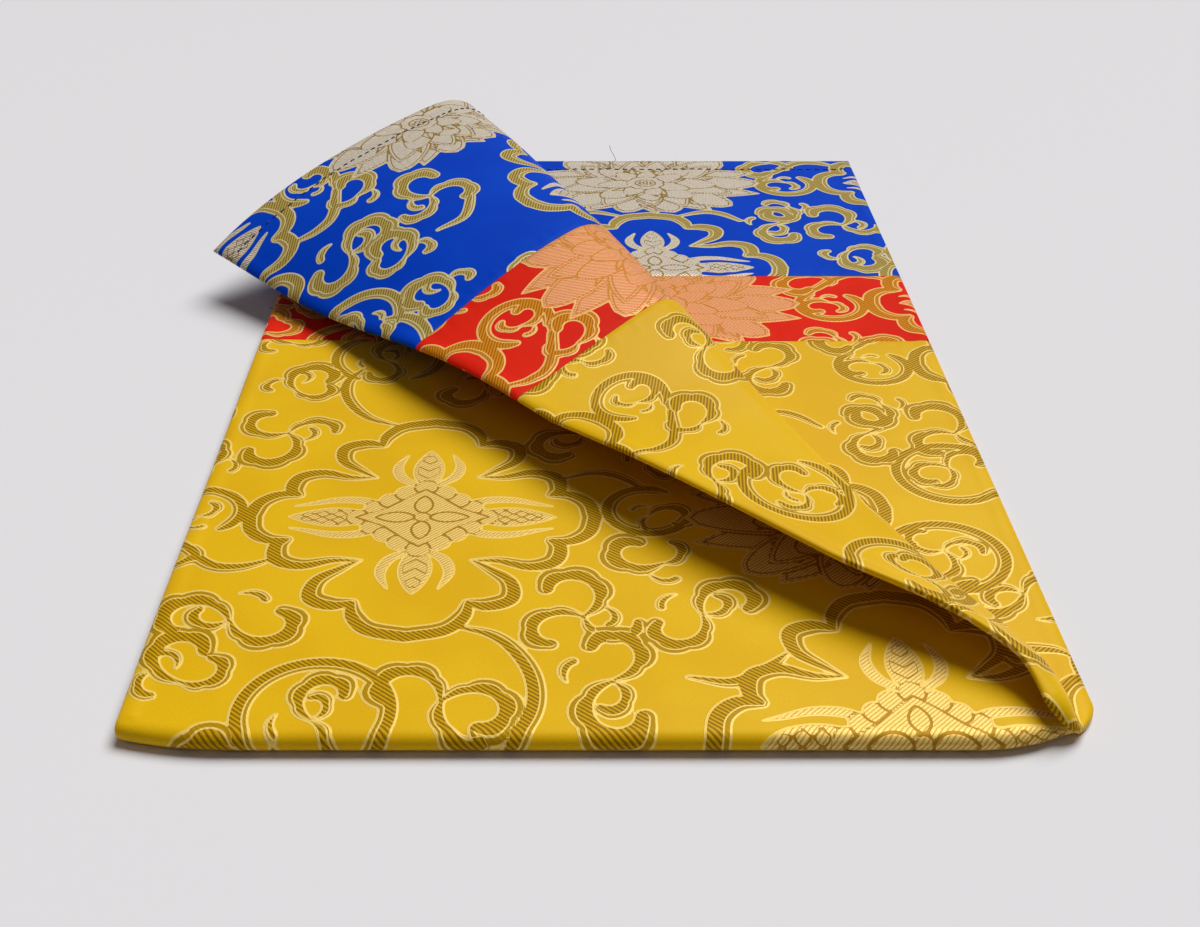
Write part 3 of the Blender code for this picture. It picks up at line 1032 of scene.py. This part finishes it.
def lay_grid(name, across, along, face):
    """A mesh of the folded ply, and the flat place of each of its vertices."""
    nx, ny = len(across), len(along)
    bm = bmesh.new()
    bmesh.ops.create_grid(bm, x_segments=nx - 1, y_segments=ny - 1, size=0.5)
    mesh = mesh_of(name, bm)
    square = np.empty(len(mesh.vertices) * 3)
    mesh.vertices.foreach_get("co", square)
    share = square.reshape(-1, 3) + 0.5
    reach = across[np.rint(share[:, 0] * (nx - 1)).astype(int)]
    t = along[np.rint(share[:, 1] * (ny - 1)).astype(int)]
    s = np.abs(reach)
    off = ply_height(s, t, face) * np.where(reach < 0, 1, 1 if face else -1)
    mesh.vertices.foreach_set("co", fold_off(s, t, off).astype(np.float32).ravel())
    return mesh, reach, t


def write_figures(mesh, strip, x, y):
    for name in FIELDS:
        fields = repeats[strip.figures]
        values = read_repeat(fields, name, x * 1000 - strip.phase[0], y * 1000 - strip.phase[1])
        attribute = mesh.attributes.new(name, "FLOAT", "POINT")
        attribute.data.foreach_set("value", values.astype(np.float32))


def write_map(mesh, name, places):
    corner = np.empty(len(mesh.loops), int)
    mesh.loops.foreach_get("vertex_index", corner)
    layer = mesh.uv_layers.new(name=name)
    layer.uv.foreach_set("vector", places[corner].astype(np.float32).ravel())


# %% Make the sheets
def add_object(name, data):
    made = bpy.data.objects.new(name, data)
    bpy.context.scene.collection.objects.link(made)
    return made


def make_sheet(strip):
    face = strip.node.startswith("face")
    across, along = grid_places(strip, face)
    mesh, reach, t = lay_grid(strip.node + "_cloth", across, along, face)
    write_figures(mesh, strip, WIDTH - reach, t)
    if face:
        mesh.flip_normals()
    write_map(mesh, "cloth", np.column_stack([WIDTH - reach, t]))
    long_side = max(across[-1] - across[0], along[-1] - along[0])
    unit = np.column_stack([reach - across[0], t - along[0]]) / long_side
    write_map(mesh, "OFBake", unit * (1 - 2 * BAKE_MARGIN) + BAKE_MARGIN)
    mesh.uv_layers.active = mesh.uv_layers["cloth"]
    mesh.shade_smooth()
    mesh.materials.append(cloths[strip.cloth])
    mesh.update()
    sheet = add_object(strip.node + "_cloth", mesh)
    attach(sheet, "root")
    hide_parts(strip.node)
    return 2 * len(mesh.polygons)


counts = {strip.node: make_sheet(strip) for strip in STRIPS}
print("triangles", counts, "in all", sum(counts.values()))

# %% [markdown]
# ## Hem stitches
#
# Both hems are sewn with dark blue thread, about 13 mm in from the end. A stitch line could be
# drawn in the material, but short raised threads catch the light better, so each stitch is a
# small bead of thread laid on the cloth.

# %% The thread
def plain_material(name, color, roughness):
    material = bpy.data.materials.new(name)
    material.use_nodes = True
    shader = material.node_tree.nodes["Principled BSDF"]
    shader.inputs["Base Color"].default_value = color
    shader.inputs["Roughness"].default_value = roughness
    return material


thread = plain_material("hem_thread", (0.008, 0.014, 0.09, 1), 0.6)


def tube(bm, points, radii, sides):
    """A closed thread through points."""
    tangents = np.gradient(points, axis=0)
    beside = np.cross(tangents, (0.3, 0.2, 1.0))
    beside /= np.linalg.norm(beside, axis=1, keepdims=True)
    above = np.cross(beside, tangents)
    above /= np.linalg.norm(above, axis=1, keepdims=True)
    turns = np.linspace(0, 2 * np.pi, sides, endpoint=False)
    rings = [
        [bm.verts.new(p + r * (np.cos(a) * b + np.sin(a) * c)) for a in turns]
        for p, r, b, c in zip(points, radii, beside, above)
    ]
    for one, two in zip(rings[:-1], rings[1:]):
        for k in range(sides):
            bm.faces.new((one[k], one[(k + 1) % sides], two[(k + 1) % sides], two[k]))
    bm.faces.new(rings[0][::-1])
    bm.faces.new(rings[-1])


def thread_object(name, bm):
    bmesh.ops.recalc_face_normals(bm, faces=bm.faces[:])
    mesh = mesh_of(name, bm)
    mesh.shade_smooth()
    mesh.materials.append(thread)
    threads = add_object(name, mesh)
    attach(threads, "root")
    print(name, "faces", len(mesh.polygons))


# %% Sew the hems
STITCH_IN, STITCH_LENGTH, STITCH_PITCH, STITCH_RADIUS = 0.0128, 0.0030, 0.0041, 0.00028
STITCH_STARTS = np.arange(0.004, WIDTH - 0.006, STITCH_PITCH)
# along one stitch: the share of its length, its height on the cloth, and its thickness
STITCH_SHARE = np.array([0.0, 0.22, 0.5, 0.78, 1.0])
STITCH_LIFT = np.array([-0.0003, 0.00012, 0.0002, 0.00012, -0.0003])
STITCH_TAPER = np.array([0.45, 1, 1, 1, 0.45])


def sew(name, t, face):
    bm = bmesh.new()
    for n, first in enumerate(STITCH_STARTS):
        s = first + STITCH_SHARE * STITCH_LENGTH
        unsteady = t + 0.00025 * np.sin(n * 1.7) + 0.0002 * np.sin(n * 0.6)
        along = np.full(len(s), unsteady)
        lift = ply_height(s, along, face) + STITCH_LIFT
        tube(bm, fold_off(s, along, lift if face else -lift), STITCH_RADIUS * STITCH_TAPER, 6)
    thread_object(name, bm)


sew("hem_stitches_upper_face", UPPER_HEM - STITCH_IN, True)
sew("hem_stitches_upper_reverse", UPPER_HEM - STITCH_IN, False)
sew("hem_stitches_lower_reverse", STITCH_IN - LOWER_HEM, False)

# %% Loose thread ends
# they stand out from the hems and from one side, away from the panel's middle
Loose = namedtuple("Loose", "s t reach sway rise")
LOOSE = (
    Loose(0.118, -LOWER_HEM, 0.0075, 0.0015, 0.0060),
    Loose(0.2575, -0.2500, 0.0040, 0.0020, 0.0010),
    Loose(0.200, UPPER_HEM, 0.0050, -0.0020, 0.0005),
)
LOOSE_POINTS, LOOSE_RADIUS, LOOSE_CURVE = 9, 0.00012, 4.5
INWARD = 0.97


def middle_place(s, t):
    return fold_off(np.array([s]), np.array([t]), np.array([0.0]))[0]


bm = bmesh.new()
for loose in LOOSE:
    root = middle_place(loose.s, loose.t)
    inner = middle_place(loose.s * INWARD + (1 - INWARD) * WIDTH / 2, loose.t * INWARD)
    out = (root - inner) / np.linalg.norm(root - inner)
    up = np.array((0, 0, 1))
    u = np.linspace(0, 1, LOOSE_POINTS)[:, None]
    sway = np.cross(out, up) * loose.sway * np.sin(u * LOOSE_CURVE)
    path = root + out * loose.reach * u + sway + up * loose.rise * u * u
    tube(bm, path, np.full(LOOSE_POINTS, LOOSE_RADIUS), 5)
thread_object("loose_threads", bm)

# %% [markdown]
# ## Floor, light and camera
#
# The panel lies on a plain pale surface. One broad soft light from high behind keeps the colours
# bright and leaves a soft shadow round the cloth and a dark hollow under its turned-over side.
# Two weak lamps fill the front and the left.

# %% Floor
bm = bmesh.new()
bmesh.ops.create_grid(bm, x_segments=1, y_segments=1, size=6.0)
floor = add_object("floor", mesh_of("floor", bm))
floor.location.z = -0.0001
floor.data.materials.append(plain_material("pale_floor", (0.78, 0.78, 0.80, 1), 0.85))
print("floor", tuple(floor.dimensions))

# %% Lights
# size is an angle for a sun and a width for an area
Light = namedtuple("Light", "name kind place size power tint")
LIGHTS = (
    Light("window", "SUN", (0.45, 0.72, 1.30), 0.70, 3.12, (1.0, 0.995, 0.995)),
    Light("left", "AREA", (-1.1, -0.2, 0.9), 0.8, 0.4, (1.0, 0.96, 0.93)),
    Light("front", "AREA", (0.2, -1.2, 1.1), 0.8, 0.6, (1.0, 0.96, 0.93)),
)
for light in LIGHTS:
    data = bpy.data.lights.new(light.name, light.kind)
    data.energy, data.color = light.power, light.tint
    if light.kind == "SUN":
        data.angle = light.size
    else:
        data.size = light.size
    lamp = add_object(light.name, data)
    lamp.location = light.place
    aim = Vector((0, 0, 0)) - Vector(light.place)
    lamp.rotation_euler = aim.to_track_quat("-Z", "Y").to_euler()
print("lights", [light.name for light in LIGHTS])

# %% A dim warm room, and plain colours
world = bpy.data.worlds.new("soft_room")
world.use_nodes = True
background = world.node_tree.nodes["Background"]
background.inputs["Color"].default_value = (1.0, 0.80, 0.74, 1)
background.inputs["Strength"].default_value = 0.08
bpy.context.scene.world = world
bpy.context.scene.view_settings.view_transform = "Standard"
print("room", world.name)

# %% Camera
camera_data = bpy.data.cameras.new("camera")
camera_data.lens = 44.52
camera_data.shift_x = 0.0275
camera = add_object("camera", camera_data)
camera.location = (0.0022, -0.4961, 0.2663)
camera.rotation_euler = (np.radians(58.0), 0, 0)
bpy.context.scene.camera = camera
print("camera at", tuple(camera.location))
